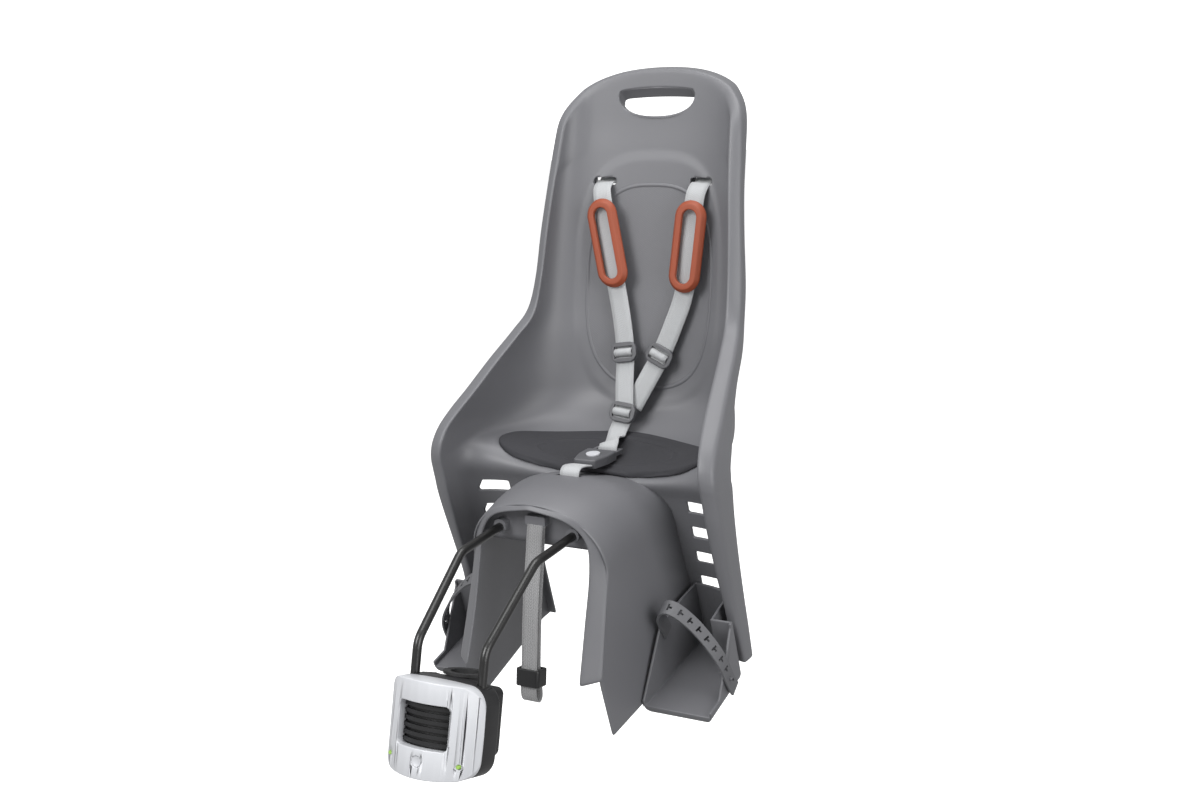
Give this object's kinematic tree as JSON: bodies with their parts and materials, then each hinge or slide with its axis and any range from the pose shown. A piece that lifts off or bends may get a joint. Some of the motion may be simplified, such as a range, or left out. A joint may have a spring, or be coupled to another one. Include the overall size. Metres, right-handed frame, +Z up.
{
  "type": "child bike seat",
  "caption": "Moulded child bike seat with footrests, harness and pad, carried behind the rider on a bent bar from a seat tube clamp block.",
  "frame": {"origin": "middle of the tube clamp, on the axis of the bicycle's seat tube", "axes": "+Z up, child faces -Y, +X is the child's left"},
  "size_m": [0.396, 0.6286, 0.71],
  "materials": {
    "shell": "satin moulded, fine grain",
    "bar": "gloss black",
    "black_plastic": "fine grain",
    "dark_plastic": "fine grain",
    "white_plastic": "smooth",
    "green_plastic": "smooth",
    "steel": "zinc plated",
    "rubber": "matt",
    "strap_rubber": "matt",
    "foam": "moulded foam",
    "webbing": "woven",
    "safety_webbing": "coarse woven",
    "ring_pad": "matt"
  },
  "bodies": {
    "block": {"block_body": "black_plastic", "block_cover": "white_plastic", "ribbed_panel": "black_plastic", "release_spring": "steel", "indicator_springs": "steel", "tube_liner_front": "rubber", "tube_liner_rear": "rubber", "rear_yoke": "black_plastic", "clamp_bolts": "steel"},
    "seat": {"seat_shell": "shell", "support_bar": "bar", "bar_clamp_plate": "black_plastic", "bar_clamp_screws": "steel", "seat_pad": "foam", "shoulder_strap_left": "webbing", "shoulder_strap_right": "webbing", "lap_strap": "webbing", "crotch_strap": "webbing", "shoulder_pad_left": "ring_pad", "shoulder_pad_right": "ring_pad", "strap_slide_left": "dark_plastic", "strap_slide_right": "dark_plastic", "strap_slide_lower": "dark_plastic", "buckle_body": "dark_plastic", "buckle_tongue": "dark_plastic", "harness_anchor_left": "dark_plastic", "harness_anchor_right": "dark_plastic", "crotch_anchor": "dark_plastic", "safety_strap": "safety_webbing", "safety_slider": "black_plastic"},
    "release": {"release_button": "white_plastic", "lock_plate": "steel"},
    "indicator_right": {"indicator_right": "green_plastic"},
    "indicator_left": {"indicator_left": "green_plastic"},
    "buckle_button": {"buckle_button": "white_plastic"},
    "footrest_right": {"footrest_right": "shell", "foot_strap_right": "strap_rubber"},
    "footrest_left": {"footrest_left": "shell", "foot_strap_left": "strap_rubber"}
  },
  "joints": [
    {"name": "seat_slide", "type": "slide", "parent": "block", "child": "seat", "axis": [0, 0.2924, 0.9563], "range_m": [0, 0.07]},
    {"name": "release_press", "type": "slide", "parent": "block", "child": "release", "axis": [0, 0.9563, -0.2924], "range_m": [0, 0.003], "stiffness_N_per_m": 600, "springref_m": -0.004, "deforming": ["release_spring"]},
    {"name": "indicator_right_press", "type": "slide", "parent": "block", "child": "indicator_right", "axis": [0, 0.9563, -0.2924], "range_m": [0, 0.002], "stiffness_N_per_m": 300, "springref_m": -0.003, "deforming": ["indicator_springs"]},
    {"name": "indicator_left_press", "type": "slide", "parent": "block", "child": "indicator_left", "axis": [0, 0.9563, -0.2924], "range_m": [0, 0.002], "stiffness_N_per_m": 300, "springref_m": -0.003, "deforming": ["indicator_springs"]},
    {"name": "buckle_press", "type": "slide", "parent": "seat", "child": "buckle_button", "axis": [0, 0, -1], "range_m": [0, 0.002], "stiffness_N_per_m": 500, "springref_m": -0.003},
    {"name": "footrest_right_slide", "type": "slide", "parent": "seat", "child": "footrest_right", "axis": [0, -0.2425, 0.9701], "range_m": [0, 0.099]},
    {"name": "footrest_left_slide", "type": "slide", "parent": "seat", "child": "footrest_left", "axis": [0, -0.2425, 0.9701], "range_m": [0, 0.099]}
  ]
}
